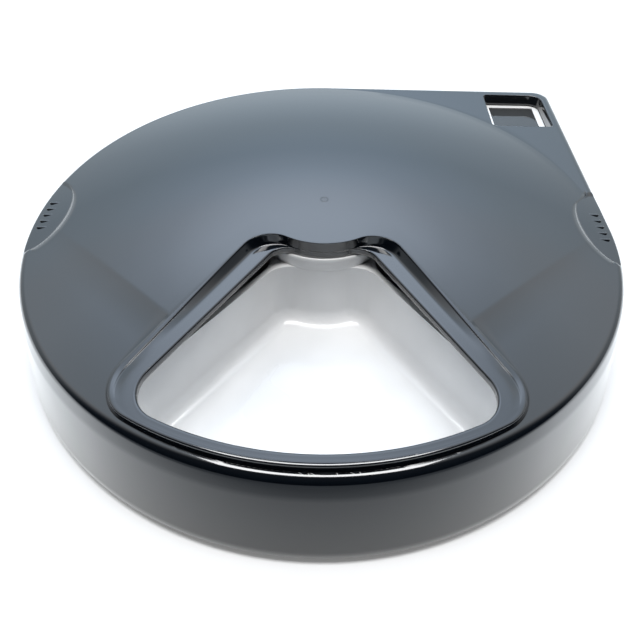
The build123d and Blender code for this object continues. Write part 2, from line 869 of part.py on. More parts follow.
def drive_hub():
    wheel = spur(wheel_teeth, wheel_addendum, 0.0, hub_axis, third_level)
    hub = wheel + disc(hub_shaft_radius, third_level + gear_width, hub_top)
    disc_low = gear_case_top + index_disc_lift
    index = disc(index_disc_radius, disc_low, disc_low + index_disc_thickness)
    for number in range(bowl_count):
        notch = bar(index_disc_radius - index_notch_depth, index_disc_radius + index_notch_depth,
                    -index_notch_width / 2, index_notch_width / 2,
                    disc_low, disc_low + index_disc_thickness)
        index -= Rot(0, 0, sensor_angle + 360 / bowl_count * number) * notch
    hub += index
    hub += disc(hub_flange_radius, disc_low + index_disc_thickness, hub_top)
    hub -= disc(hub_axle_radius + hub_bore_clearance, third_level, hub_top)
    hub -= disc(clip_radius + hub_bore_clearance, hub_top - 2 * clip_thickness, hub_top)
    for number in range(dog_count):
        at = polar(dog_distance, 360 / dog_count * number)
        hub += disc(dog_radius, hub_top, hub_top + dog_rise, at)
    return hub


def double_gear(axis, wheel_turn, pinion_turn, wheel_level):
    pinion_level = wheel_level + gear_width + gear_gap
    gear = spur(wheel_teeth, wheel_addendum, wheel_turn, axis, wheel_level)
    gear += spur(pinion_teeth, pinion_addendum, pinion_turn, axis, pinion_level)
    gear += disc(side_axle_radius + boss_wall, wheel_level, pinion_level, axis)
    return gear - disc(side_axle_radius + axle_clearance, wheel_level, pinion_level + gear_width, axis)


second_pinion_turn = meshing_turn(0.0, hub_axis, second_axis)
first_pinion_turn = meshing_turn(0.0, second_axis, first_axis)
motor_pinion_turn = meshing_turn(0.0, first_axis, motor_axis)


def second_gear():
    return double_gear(second_axis, 0.0, second_pinion_turn, second_level)


def first_gear():
    return double_gear(first_axis, 0.0, first_pinion_turn, first_level)


def motor_pinion():
    pinion = spur(pinion_teeth, pinion_addendum, motor_pinion_turn, motor_axis, first_level)
    return pinion - disc(motor_shaft_radius, first_level, first_level + gear_width, motor_axis)


def motor_shaft():
    low = tower_top - motor_length + axle_clearance
    return disc(motor_shaft_radius, low, first_level + gear_width, motor_axis)


def gear_plate():
    plate = disc(tower_radius, tower_top, gear_plate_top)
    boss = side_axle_radius + boss_wall
    plate += disc(boss, gear_plate_top, second_level - gear_gap / 2, second_axis)
    plate += disc(boss, gear_plate_top, first_level - gear_gap / 2, first_axis)
    plate += disc(hub_axle_radius + boss_wall / 2, gear_plate_top, third_level - gear_gap / 2, hub_axis)
    for axis, radius in axle_list():
        plate -= disc(radius, tower_top, third_level, axis)
    plate -= disc(motor_shaft_radius + boss_wall, tower_top, gear_plate_top, motor_axis)
    for angle in screw_post_angles:
        plate -= disc(gear_screw_radius + axle_clearance, tower_top, gear_plate_top,
                      polar(screw_post_distance, angle))
    for at in motor_screw_places():
        plate -= disc(gear_screw_radius / 2 + axle_clearance, tower_top, gear_plate_top, at)
    return plate


def axle_list():
    return ((hub_axis, hub_axle_radius), (second_axis, side_axle_radius),
            (first_axis, side_axle_radius))


def gear_axles():
    tops = (hub_top, gear_case_top - gear_case_roof / 2, gear_case_top - gear_case_roof / 2)
    return [disc(radius, tower_top, top, axis) for (axis, radius), top in zip(axle_list(), tops)]


def gear_case():
    case = disc(tower_radius, gear_plate_top, gear_case_top)
    hollow = disc(tower_radius - tower_wall, gear_plate_top, gear_case_top - gear_case_roof)
    for angle in screw_post_angles:
        hollow -= disc(screw_post_radius, gear_plate_top, gear_case_top,
                       polar(screw_post_distance, angle))
    case -= hollow
    case -= disc(hub_shaft_radius + gear_case_bore_gap, gear_plate_top, gear_case_top)
    for axis in (second_axis, first_axis):
        case -= disc(side_axle_radius, gear_plate_top, gear_case_top - gear_case_roof / 2, axis)
    for angle in screw_post_angles:
        case -= disc(gear_screw_radius + axle_clearance, gear_plate_top, gear_case_top,
                     polar(screw_post_distance, angle))
    return case


def gear_case_screws():
    screws = []
    for angle in screw_post_angles:
        at = polar(screw_post_distance, angle)
        shank = disc(gear_screw_radius, tower_top - gear_screw_grip, gear_case_top, at)
        head = disc(gear_screw_head_radius, gear_case_top, gear_case_top + gear_screw_head_height, at)
        slot = Pos(*at, 0) * bar(-gear_screw_head_radius, gear_screw_head_radius,
                                 -screw_slot_width / 2, screw_slot_width / 2,
                                 gear_case_top + gear_screw_head_height / 2,
                                 gear_case_top + gear_screw_head_height)
        screws.append(shank + (head - slot))
    return screws


def index_sensor():
    """A forked light gate that straddles the notched disc."""
    slot_low = gear_case_top + index_disc_lift - sensor_gap
    slot_high = slot_low + index_disc_thickness + 2 * sensor_gap
    half = sensor_width / 2
    near = index_disc_radius - sensor_overlap
    body = bar(near, index_disc_radius + sensor_root, -half, half,
               gear_case_top, slot_high + sensor_jaw)
    slot = bar(near, index_disc_radius + sensor_gap, -half, half, slot_low, slot_high)
    return Rot(0, 0, sensor_angle) * (body - slot)


# Motor

def motor_outline():
    return Circle(motor_width / 2) & Rectangle(motor_width, motor_depth)


def motor_can():
    can = prism(motor_outline(), tower_top - motor_length, tower_top)
    can -= disc(motor_shaft_radius + axle_clearance, tower_top - motor_length, tower_top)
    can = Pos(motor_axis[0], motor_axis[1], 0) * can
    for at in motor_screw_places():
        can -= disc(gear_screw_radius / 2, tower_top - gear_screw_head_height, tower_top, at)
    return can


def motor_end_cap():
    high = tower_top - motor_length
    return Pos(motor_axis[0], motor_axis[1], 0) * prism(motor_outline(), high - motor_cap_length, high)


def motor_screw_places():
    return [(motor_axis[0] + side * motor_screw_pitch / 2, motor_axis[1]) for side in (-1, 1)]


def motor_screws():
    screws = []
    for at in motor_screw_places():
        shank = disc(gear_screw_radius / 2, tower_top - gear_screw_head_height, gear_plate_top, at)
        head = disc(gear_screw_radius, gear_plate_top, gear_plate_top + gear_gap / 2, at)
        screws.append(shank + head)
    return screws


def hub_clip():
    ring = tube(clip_radius, hub_axle_radius, hub_top - clip_thickness - gear_gap / 4,
                hub_top - gear_gap / 4)
    opening = bar(0, 2 * clip_radius, -hub_axle_radius / 2, hub_axle_radius / 2, 0, tray_rim_top)
    return ring - opening


# Leads, held all the way

def lead(points):
    path = FilletPolyline(*points, radius=lead_bend)
    start = Plane(origin=path @ 0, z_dir=path % 0)
    return sweep(start * Circle(lead_radius), path=path)


def diagonal_point(distance, across, height):
    """A point over the line to the corner, moved sideways by across."""
    x, y = polar(distance, 45)
    return (x - across * sqrt(0.5), y + across * sqrt(0.5), height)


def motor_lead(side):
    """From the motor's end cap along the duct and up to the board."""
    across = side * lead_pitch / 2
    floor_z = base_floor_top + lead_radius + lead_floor_gap
    cap_z = tower_top - motor_length - motor_cap_length / 2
    start_x, start_y = motor_axis[0] + motor_width / 2, motor_axis[1] + across
    return lead([(start_x, start_y, cap_z),
                 (start_x + lead_bend, start_y, cap_z),
                 diagonal_point(duct_low - 2 * lead_bend, across, cap_z),
                 diagonal_point(duct_low, across, floor_z),
                 diagonal_point(lead_riser_distance, across, floor_z),
                 diagonal_point(lead_riser_distance, across, board_underside)])


def sensor_lead():
    """From the light gate down the tower's outside, along the duct and up to the board."""
    top_z = gear_case_top + lead_radius + lead_floor_gap
    down = tower_radius + lead_radius + lead_floor_gap
    up = lead_riser_distance - lead_riser_pitch
    duct_z = base_floor_top + lead_radius + lead_floor_gap + lead_layer
    return lead([diagonal_point(index_disc_radius + sensor_root, 0, top_z),
                 diagonal_point(down, 0, top_z),
                 diagonal_point(down, 0, duct_z),
                 diagonal_point(up, 0, duct_z),
                 diagonal_point(up, 0, board_underside)])


def battery_leads():
    """Short straight leads from the two end contacts through the bay's roof to the board."""
    return [disc(lead_radius, bay_top, board_underside, (battery_lead_x, y)) for y in cell_rows]


def save(name, *solids):
    shape = solids[0] if len(solids) == 1 else Compound(children=list(solids))
    shape.label = name
    export_step(shape, os.path.join("parts", name + ".step"))


def main():
    os.makedirs("parts", exist_ok=True)
    save("lid_shell", lid_shell())
    save("five_bowl_tray", five_bowl_tray())
    save("base_tub", base_tub())
    save("duct_cover", duct_cover())
    save("foot_ring", foot_ring())
    save("corner_foot", corner_foot())
    save("left_cooling_pack", cooling_pack(1))
    save("right_cooling_pack", cooling_pack(-1))
    save("filler_plugs", filler_plug(1), filler_plug(-1))
    save("battery_door", battery_door())
    save("battery_cells", *battery_cells())
    save("battery_contacts", *contact_plates())
    save("control_panel", control_panel())
    save("display_frame", display_frame())
    save("display_lens", display_lens())
    save("display_glass", display_glass())
    save("display_carrier", display_carrier())
    save("circuit_board", circuit_board())
    save("panel_screws", *panel_screws())
    save("timer_chip", timer_chip())
    save("buzzer", buzzer())
    for number, at in enumerate(button_places, start=1):
        save(f"button_{number}", button(at))
    save("switch_bodies", *[switch_body(at) for at in button_places])
    save("switch_plungers", *[switch_plunger(at) for at in button_places])
    save("drive_hub", drive_hub())
    save("second_gear", second_gear())
    save("first_gear", first_gear())
    save("motor_pinion", motor_pinion())
    save("motor_shaft", motor_shaft())
    save("gear_plate", gear_plate())
    save("gear_axles", *gear_axles())
    save("gear_case", gear_case())
    save("gear_case_screws", *gear_case_screws())
    save("index_sensor", index_sensor())
    save("motor_can", motor_can())
    save("motor_end_cap", motor_end_cap())
    save("motor_screws", *motor_screws())
    save("hub_clip", hub_clip())
    save("red_motor_lead", motor_lead(1))
    save("black_motor_lead", motor_lead(-1))
    save("sensor_lead", sensor_lead())
    save("battery_leads", *battery_leads())


main()
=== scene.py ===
# %% [markdown]
# # A round pet feeder with five bowls
# The feeder is a dark glossy lid over a pale tray. One wedge-shaped opening shows one bowl, and a
# small square window in the corner shows the clock. The mechanical parts come ready from the CAD
# model, at rest, in metres. This lesson makes the skins that the camera sees, gives every part a
# finish, and lights it on a white table.

# %% load the parts
import math
import bmesh
import bpy
import numpy as np
from mathutils import Matrix, Vector


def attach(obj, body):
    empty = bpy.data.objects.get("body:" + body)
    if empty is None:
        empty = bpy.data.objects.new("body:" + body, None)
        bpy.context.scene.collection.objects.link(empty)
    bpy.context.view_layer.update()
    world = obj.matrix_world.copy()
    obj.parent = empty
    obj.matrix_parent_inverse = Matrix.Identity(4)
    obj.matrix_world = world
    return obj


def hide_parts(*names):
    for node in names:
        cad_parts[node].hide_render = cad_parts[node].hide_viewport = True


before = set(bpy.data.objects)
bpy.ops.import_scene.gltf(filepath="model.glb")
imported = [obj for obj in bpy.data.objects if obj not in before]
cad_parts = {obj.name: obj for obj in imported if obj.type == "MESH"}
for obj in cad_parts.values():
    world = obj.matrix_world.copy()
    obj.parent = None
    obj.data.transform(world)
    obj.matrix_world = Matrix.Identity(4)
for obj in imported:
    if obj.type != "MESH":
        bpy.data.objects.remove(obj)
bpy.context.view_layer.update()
MM = 0.001

# %% [markdown]
# ## The camera
# The photograph was taken from close by, a little above the front edge, so the front looks much
# larger than the back. The lens and the place were worked out from the lid's own outlines, in
# pixels of a square picture. A camera can be aimed with a Track To constraint, but here its three
# axes are known, so they are written straight into its matrix.

# %% camera
camera_place = Vector((4.153, -244.344, 235.315)) * MM
right = Vector((0.99977, 0.01394, 0.01651))
ahead = Vector((0.00276, 0.67559, -0.73727))
up = Vector((-0.02143, 0.73714, 0.67540))
picture, focal = 640, 599.68
centre_x, centre_y = 331.75, 326.49
camera_data = bpy.data.cameras.new("camera")
camera_data.sensor_width = 36.0
camera_data.lens = focal / picture * camera_data.sensor_width
camera_data.shift_x = -(centre_x - picture / 2) / picture
camera_data.shift_y = (centre_y - picture / 2) / picture
camera_data.clip_start = 0.01
camera = bpy.data.objects.new("camera", camera_data)
turn = Matrix((right, up, -ahead)).transposed().to_4x4()
camera.matrix_world = Matrix.Translation(camera_place) @ turn
bpy.context.scene.collection.objects.link(camera)
bpy.context.scene.camera = camera
print("lens in mm:", round(camera_data.lens, 2))

# %% [markdown]
# ## The table and the light
# The object stands on a white sheet in a white light tent. A tent is easiest as a bright world
# with one soft panel overhead. The lid works like a dark mirror, so what matters most is where
# the tent is bright: there is a glow half way up behind the object, and it is dark in front,
# where the photographer stood. The camera sees a plain lit sheet. Every other ray meets a sheet
# with painted shade near the front, so that the lid's front wall reflects the photographer's
# shade.

# %% floor
def add_mesh(name, points, faces):
    mesh = bpy.data.meshes.new(name)
    mesh.from_pydata([tuple(p) for p in points], [], [tuple(f) for f in faces])
    mesh.update()
    mesh.shade_smooth()
    made = bpy.data.objects.new(name, mesh)
    bpy.context.scene.collection.objects.link(made)
    return made


def new_material(name):
    material = bpy.data.materials.new(name)
    material.use_nodes = True
    nodes = material.node_tree.nodes
    return material, nodes, material.node_tree.links, nodes["Principled BSDF"]


sheet_half = 3
corners = [(-1, -1), (1, -1), (1, 1), (-1, 1)]
floor = add_mesh("table_sheet", [(x * sheet_half, y * sheet_half, 0) for x, y in corners],
                 [(0, 1, 2, 3)])
sheet, nodes, links, shader = new_material("white_sheet")
shader.inputs["Base Color"].default_value = (0.9, 0.9, 0.9, 1)
shader.inputs["Roughness"].default_value = 0.6
spot = nodes.new("ShaderNodeSeparateXYZ")
links.new(nodes.new("ShaderNodeTexCoord").outputs["Object"], spot.inputs[0])
nearness = nodes.new("ShaderNodeMapRange")
nearness.inputs["From Min"].default_value = -0.23
nearness.inputs["From Max"].default_value = -0.12
links.new(spot.outputs["Y"], nearness.inputs["Value"])
# Painted shade: for every ray but the camera's, the sheet runs from dark grey near the front to
# near white, in place of the photographer's shadow.
painted_shade_ramp = nodes.new("ShaderNodeValToRGB")
painted_shade_ramp.color_ramp.elements[0].color = (0.21, 0.22, 0.23, 1)
painted_shade_ramp.color_ramp.elements[1].color = (1.0, 1.0, 0.99, 1)
links.new(nearness.outputs[0], painted_shade_ramp.inputs["Fac"])
shade = nodes.new("ShaderNodeBsdfDiffuse")
links.new(painted_shade_ramp.outputs[0], shade.inputs["Color"])
glow = nodes.new("ShaderNodeEmission")
glow.inputs["Color"].default_value = (1, 1, 1, 1)
lit = nodes.new("ShaderNodeMixShader")
lit.inputs["Fac"].default_value = 0.2
links.new(shader.outputs[0], lit.inputs[1])
links.new(glow.outputs[0], lit.inputs[2])
seen = nodes.new("ShaderNodeLightPath")
choose = nodes.new("ShaderNodeMixShader")
links.new(seen.outputs["Is Camera Ray"], choose.inputs["Fac"])
links.new(shade.outputs[0], choose.inputs[1])
links.new(lit.outputs[0], choose.inputs[2])
links.new(choose.outputs[0], nodes["Material Output"].inputs["Surface"])
floor.data.materials.append(sheet)

# %% world
world = bpy.data.worlds.new("light_tent")
bpy.context.scene.world = world
world.use_nodes = True
nodes, links = world.node_tree.nodes, world.node_tree.links
nodes.clear()
coordinates = nodes.new("ShaderNodeTexCoord")
split = nodes.new("ShaderNodeSeparateXYZ")
links.new(coordinates.outputs["Generated"], split.inputs[0])
glow_rise = math.radians(48)
glow_way = (-0.045, math.cos(glow_rise), math.sin(glow_rise))
toward_glow = nodes.new("ShaderNodeVectorMath")
toward_glow.operation = "DOT_PRODUCT"
toward_glow.inputs[1].default_value = glow_way
links.new(coordinates.outputs["Generated"], toward_glow.inputs[0])


def as_share(source):
    """A value from -1 to 1 brought to 0 to 1, as a colour ramp needs it."""
    made = nodes.new("ShaderNodeMath")
    made.operation = "MULTIPLY_ADD"
    made.inputs[1].default_value = 0.5
    made.inputs[2].default_value = 0.5
    links.new(source, made.inputs[0])
    return made.outputs[0]


def world_ramp(source, stops):
    """A colour ramp from stops of position, brightness, and shares of red and blue."""
    made = nodes.new("ShaderNodeValToRGB")
    elements = made.color_ramp.elements
    while len(elements) < len(stops):
        elements.new(0.5)
    for element, (position, level, red, blue) in zip(elements, stops):
        element.position = position
        element.color = (level * red, level, level * blue, 1)
    links.new(source, made.inputs["Fac"])
    return made


def angle_stop(angle, level, red=1.0, blue=1.0):
    """A ramp stop at an angle in degrees from the middle of the glow."""
    return (0.5 + 0.5 * math.cos(math.radians(angle)), level, red, blue)


glow_ramp = world_ramp(as_share(toward_glow.outputs["Value"]), [
    angle_stop(110, 0.01), angle_stop(88, 0.20), angle_stop(68, 0.34),
    angle_stop(45, 0.47, 0.95, 1.05), angle_stop(30, 0.52, 0.88, 1.12),
    angle_stop(25, 0.57, 0.86, 1.16), angle_stop(20, 0.66, 0.86, 1.18),
    angle_stop(14, 0.87, 0.86, 1.19), angle_stop(8, 1.0, 0.86, 1.19)])
low_ramp = world_ramp(split.outputs["Z"], [
    (0.14, 0.68, 0.92, 1.05), (0.28, 0.60, 0.92, 1.05), (0.41, 0.62, 0.92, 1.05),
    (0.50, 0.78, 0.95, 1.03), (0.57, 0.88, 1, 1), (0.66, 1.0, 1, 1)])
front_ramp = world_ramp(as_share(split.outputs["Y"]), [
    (0.37, 0.03, 1, 1), (0.44, 0.25, 1, 1), (0.50, 0.6, 1, 1), (0.60, 1.0, 1, 1)])


def multiplied(one, other):
    made = nodes.new("ShaderNodeMixRGB")
    made.blend_type = "MULTIPLY"
    made.inputs["Fac"].default_value = 1.0
    links.new(one, made.inputs["Color1"])
    links.new(other, made.inputs["Color2"])
    return made.outputs[0]


glow_and_low = multiplied(glow_ramp.outputs[0], low_ramp.outputs[0])
tent = nodes.new("ShaderNodeBackground")
tent.inputs["Strength"].default_value = 3.0
links.new(multiplied(glow_and_low, front_ramp.outputs[0]), tent.inputs["Color"])
white = nodes.new("ShaderNodeBackground")
white.inputs["Color"].default_value = (1, 1, 1, 1)
white.inputs["Strength"].default_value = 1.0
path = nodes.new("ShaderNodeLightPath")
pick = nodes.new("ShaderNodeMixShader")
links.new(path.outputs["Is Camera Ray"], pick.inputs["Fac"])
links.new(tent.outputs[0], pick.inputs[1])
links.new(white.outputs[0], pick.inputs[2])
output = nodes.new("ShaderNodeOutputWorld")
links.new(pick.outputs[0], output.inputs["Surface"])
bpy.context.scene.view_settings.view_transform = "Standard"

# %% lamps
def soft_box(name, place, aim, width, depth, power):
    lamp_data = bpy.data.lights.new(name, "AREA")
    lamp_data.shape = "RECTANGLE"
    lamp_data.size, lamp_data.size_y = width, depth
    lamp_data.energy = power
    lamp = bpy.data.objects.new(name, lamp_data)
    lamp.location = place
    look = Vector(aim) - Vector(place)
    lamp.rotation_euler = look.to_track_quat("-Z", "Y").to_euler()
    bpy.context.scene.collection.objects.link(lamp)


soft_box("top_panel", (0.0, -0.08, 1.3), (0, 0, 0), 0.9, 0.4, 15)

# %% [markdown]
# ## Moulded plastic
# Nearly every part is injection-moulded plastic. A gloss lid has a hard clear skin with a faint
# ripple from the mould; a matt part has a fine spark texture. One function makes both, with the
# colour, the shine and the grain as its settings. The metal parts use it too.

# %% plastic finishes
def noise(nodes, links, scale, detail, vector):
    made = nodes.new("ShaderNodeTexNoise")
    made.inputs["Scale"].default_value = scale
    made.inputs["Detail"].default_value = detail
    links.new(vector, made.inputs["Vector"])
    return made


def ramp(nodes, links, source, low, high):
    made = nodes.new("ShaderNodeValToRGB")
    for element, position, colour in zip(made.color_ramp.elements, (0.3, 0.7), (low, high)):
        element.position = position
        element.color = (*colour, 1)
    links.new(source, made.inputs["Fac"])
    return made


def moulded(name, colour, rough, grain=0.05, grain_scale=900, coat=0.0, specular=0.5,
            metallic=0.0, spread=0.12):
    material, nodes, links, shader = new_material(name)
    place = nodes.new("ShaderNodeTexCoord").outputs["Object"]
    cloud = noise(nodes, links, 14, 3, place)
    low = tuple(c * (1 - spread) for c in colour)
    high = tuple(min(1, c * (1 + spread)) for c in colour)
    tint = ramp(nodes, links, cloud.outputs["Fac"], low, high)
    links.new(tint.outputs[0], shader.inputs["Base Color"])
    fine = noise(nodes, links, grain_scale, 2, place)
    shine = nodes.new("ShaderNodeMapRange")
    shine.inputs["To Min"].default_value = rough * 0.85
    shine.inputs["To Max"].default_value = min(1, rough * 1.2)
    links.new(cloud.outputs["Fac"], shine.inputs["Value"])
    links.new(shine.outputs[0], shader.inputs["Roughness"])
    bump = nodes.new("ShaderNodeBump")
    bump.inputs["Strength"].default_value = grain
    bump.inputs["Distance"].default_value = 0.0002
    links.new(fine.outputs["Fac"], bump.inputs["Height"])
    links.new(bump.outputs[0], shader.inputs["Normal"])
    shader.inputs["Coat Weight"].default_value = coat
    shader.inputs["Coat Roughness"].default_value = 0.04
    shader.inputs["Specular IOR Level"].default_value = specular
    shader.inputs["Metallic"].default_value = metallic
    return material


finish = {
    "lid_plastic": moulded("lid_gloss", (0.003, 0.0045, 0.007), 0.10, 0.01, 500, 0.7, 0.5),
    "tray_plastic": moulded("tray_white", (0.70, 0.70, 0.70), 0.28, 0.04, 700, 0.3),
    "base_plastic": moulded("base_black", (0.022, 0.026, 0.030), 0.45, 0.25),
    "white_plastic": moulded("display_white", (0.92, 0.92, 0.91), 0.35, 0.05),
    "gel_pack": moulded("cold_pack_blue", (0.25, 0.45, 0.62), 0.35, 0.2, 300),
    "rubber": moulded("foot_rubber", (0.02, 0.02, 0.02), 0.8, 0.5, 600),
    "gear_plastic": moulded("gear_ivory", (0.72, 0.69, 0.60), 0.4, 0.1),
    "steel": moulded("screw_steel", (0.55, 0.55, 0.56), 0.3, 0.2, 400, metallic=1.0),
    "plated_steel": moulded("motor_plate", (0.66, 0.66, 0.66), 0.22, 0.1, 300, metallic=1.0),
    "board": moulded("board_green", (0.02, 0.16, 0.06), 0.35, 0.2, 250),
    "black_plastic": moulded("component_black", (0.015, 0.015, 0.016), 0.5, 0.3),
    "button_plastic": moulded("button_grey", (0.16, 0.18, 0.20), 0.5, 0.2),
    "cell_jacket": moulded("cell_blue", (0.03, 0.08, 0.22), 0.25, 0.05, 200, 0.5),
    "red_insulation": moulded("lead_red", (0.45, 0.02, 0.02), 0.45, 0.1),
    "black_insulation": moulded("lead_black", (0.012, 0.012, 0.012), 0.45, 0.1),
}
print("finishes made:", len(finish))

# %% [markdown]
# ## Clear window and display
# The window over the display is a thin clear sheet, and the liquid-crystal glass under it is a
# dim silver green. Both could be Glass shaders. A Principled shader with transmission exports
# better, so both use that.

# %% clear finishes
def clear_sheet(name, colour, rough, through):
    material, nodes, links, shader = new_material(name)
    place = nodes.new("ShaderNodeTexCoord").outputs["Object"]
    cloud = noise(nodes, links, 60, 2, place)
    tint = ramp(nodes, links, cloud.outputs["Fac"], tuple(c * 0.94 for c in colour), colour)
    links.new(tint.outputs[0], shader.inputs["Base Color"])
    shine = nodes.new("ShaderNodeMapRange")
    shine.inputs["To Min"].default_value = rough
    shine.inputs["To Max"].default_value = rough * 2
    links.new(cloud.outputs["Fac"], shine.inputs["Value"])
    links.new(shine.outputs[0], shader.inputs["Roughness"])
    shader.inputs["Transmission Weight"].default_value = through
    shader.inputs["IOR"].default_value = 1.49
    return material


finish["clear_plastic"] = clear_sheet("clear_window", (0.9, 0.93, 0.95), 0.03, 0.95)
finish["display_glass"] = clear_sheet("crystal_glass", (0.36, 0.41, 0.38), 0.12, 0.0)

# %% [markdown]
# ## Outlines of the lid
# The lid has two kinds of outline seen from above. The outer one is a circle with one corner
# drawn out square. The others, round the food opening, are wedges: two straight sides, an arc
# in front, an arc behind, and rounded corners. For a clean mesh every outline is sampled at the
# same list of bearings, so that point number N on each of them lies on one column.

# %% bearings
def spread_bearings():
    """Bearings from the front, in degrees, close together where the lid bends sharply."""
    half = []
    for start, end, step in ((0, 29, 0.8), (29, 43, 0.6), (43, 78, 1.0), (78, 102, 0.4),
                             (102, 131, 1.0), (131, 139, 0.35), (139, 146, 1.0),
                             (146, 164, 0.75), (164, 180, 0.8)):
        count = round((end - start) / step)
        half += [start + (end - start) * i / count for i in range(count)]
    half.append(180.0)
    return np.array(half + [360 - b for b in half[-2:0:-1]])


bearings = spread_bearings()
print("columns round the lid:", len(bearings))

# %% wedge outline
front_end, corner_end, side_end_at, back_start = 29, 43, 146, 164


def wedge(half_angle, offset, inner_radius, outer_radius, inner_round, outer_round):
    """The wedge outline at every bearing, as an array of x and y in millimetres."""
    a = math.radians(half_angle)
    normal = np.array([math.cos(a), math.sin(a)])
    along = np.array([math.sin(a), -math.cos(a)])
    reach, depth = outer_radius - outer_round, offset - outer_round
    outer_centre = normal * depth + along * math.sqrt(reach ** 2 - depth ** 2)
    reach, depth = inner_radius + inner_round, offset - inner_round
    inner_centre = normal * depth + along * math.sqrt(reach ** 2 - depth ** 2)
    points = []
    front_turn = math.atan2(outer_centre[0], -outer_centre[1])
    back_turn = math.atan2(inner_centre[0], -inner_centre[1])
    side_start = outer_centre + normal * outer_round
    side_end = inner_centre + normal * inner_round
    for bearing in bearings:
        b = bearing if bearing <= 180 else 360 - bearing
        if b <= front_end:
            t = front_turn * b / front_end
            p = outer_radius * np.array([math.sin(t), -math.cos(t)])
        elif b <= corner_end:
            start = front_turn - math.pi / 2
            t = start + (a - start) * (b - front_end) / (corner_end - front_end)
            p = outer_centre + outer_round * np.array([math.cos(t), math.sin(t)])
        elif b <= side_end_at:
            share = (b - corner_end) / (side_end_at - corner_end)
            p = side_start + (side_end - side_start) * share
        elif b <= back_start:
            back = math.pi / 2 + back_turn
            t = a + (back - a) * (b - side_end_at) / (back_start - side_end_at)
            p = inner_centre + inner_round * np.array([math.cos(t), math.sin(t)])
        else:
            t = back_turn * (180 - b) / (180 - back_start)
            p = inner_radius * np.array([math.sin(t), -math.cos(t)])
        points.append(p if bearing <= 180 else p * (-1, 1))
    return np.array(points)


# %% outer outline
corner_round = 8.5


def rim(radius):
    """The outer outline at every bearing: a circle with one square, rounded corner."""
    points = []
    for bearing in bearings:
        t = math.radians(bearing)
        way = np.array([math.sin(t), -math.cos(t)])
        reach = radius
        if way[0] > 0 and way[1] > 0:
            reach = radius / max(way)
            centre = radius - corner_round
            middle = centre * (way[0] + way[1])
            root = middle ** 2 - 2 * centre ** 2 + corner_round ** 2
            if root > 0 and min(reach * way) > centre:
                reach = middle + math.sqrt(root)
        points.append(way * reach)
    return np.array(points)


# %% [markdown]
# ## Heights of the lid
# The crown is a very shallow ball cap. Round the opening a ledge is sunk into it, with a rising
# wall at the sides. In front the ledge runs straight out to a rounded edge that stands above the
# rim. Each level is a row of points with its own height, and quarter turns of extra rows join
# them, so that every edge has the small radius that moulded plastic has.

# %% height rules
rim_radius, rim_height, apex_height = 146.0, 48.0, 60.85
dome_edge = 141.7
ledge_height, ledge_climb, lip_depth = 52.6, 2.4, 3.0
ledge_end, ledge_run = 140, 105
crown_rise = apex_height - rim_height
ball_radius = (dome_edge ** 2 + crown_rise ** 2) / (2 * crown_rise)


def distance_out(points):
    return np.hypot(points[:, 0], points[:, 1])


def ball_cap(points):
    out = np.minimum(distance_out(points), dome_edge)
    return apex_height - ball_radius + np.sqrt(ball_radius ** 2 - out ** 2)


crease_way, crease_reach, crease_width = math.radians(42), 97.0, 16.0
crease_depth, crease_fade = 1.8, 45.0


def front_dip(points):
    """How far each front shoulder lies below the ball cap, beyond a crease from frame to rim."""
    along = np.abs(points[:, 0]) * math.sin(crease_way) - points[:, 1] * math.cos(crease_way)
    share = np.clip((along - crease_reach) / crease_width, 0, 1)
    depth = crease_depth * np.clip((dome_edge - distance_out(points)) / crease_fade, 0, 1)
    return depth * (1 - (1 - share) ** 2)


def dome(points):
    return ball_cap(points) - front_dip(points)


def ledge(points):
    """The ledge climbs a little towards the crown."""
    share = np.clip((ledge_end - distance_out(points)) / ledge_run, 0, 1)
    return ledge_height + ledge_climb * share


def s_curve(t):
    """From 0 to 1 with a rounded start and end."""
    t = np.clip(t, 0, 1)
    return np.where(t < 0.5, 2 * t ** 2, 1 - 2 * (1 - t) ** 2)


def along_front():
    """1 on the opening's front arc, 0 on its sides, blended round the corner."""
    b = np.minimum(bearings, 360 - bearings)
    blend_from, blend_over = 34, 11
    return 1 - s_curve((b - blend_from) / blend_over)


# %% rows of the lid's top
def row(points, heights):
    return np.column_stack([points, np.broadcast_to(heights, len(points))])


def between(a, b, t):
    return a * (1 - t) + b * t


lip_round = 0.9
opening = wedge(31.2, 2.9, 33.4, 136.6, 10, 14.0)
opening_top = wedge(31.2, 2.9 + lip_round, 33.25, 136.6 + lip_round, 10.5, 14.0 + lip_round)
wall_foot = wedge(28.0, 10.9, 33.1, 139.4, 13.0, 16.0)
bead_inner = wedge(30.2, 14.0, 33.0, 140.2, 14.0, 16.5)
bead_outer = wedge(31.8, 13.1, 32.6, 141.6, 14.4, 17.5)
frame_foot = wedge(33.3, 12.5, 32.0, 141.7, 15.0, 18.5)
lip_bottom = ledge(opening) - lip_depth
front = along_front()
rows = []
for step in range(4):
    rows.append(row(opening, lip_bottom + (lip_depth - lip_round) * step / 3))
for step in range(1, 6):
    turn = math.pi / 2 * step / 5
    inward = between(opening, opening_top, 1 - math.cos(turn))
    rows.append(row(inward, ledge(opening) - lip_round * (1 - math.sin(turn))))
for share in (0.35, 0.7):
    place = between(opening_top, wall_foot, share)
    rows.append(row(place, ledge(place)))

# %% frame wall and bead
def rise(t, straight_from=0.62, power=5):
    """From 0 to 1: a cove that starts flat and goes over into a steep straight wall."""
    slope = 1 / (straight_from / power + 1 - straight_from)
    start = slope * straight_from / power * (min(t, straight_from) / straight_from) ** power
    return start + slope * max(0.0, t - straight_from)


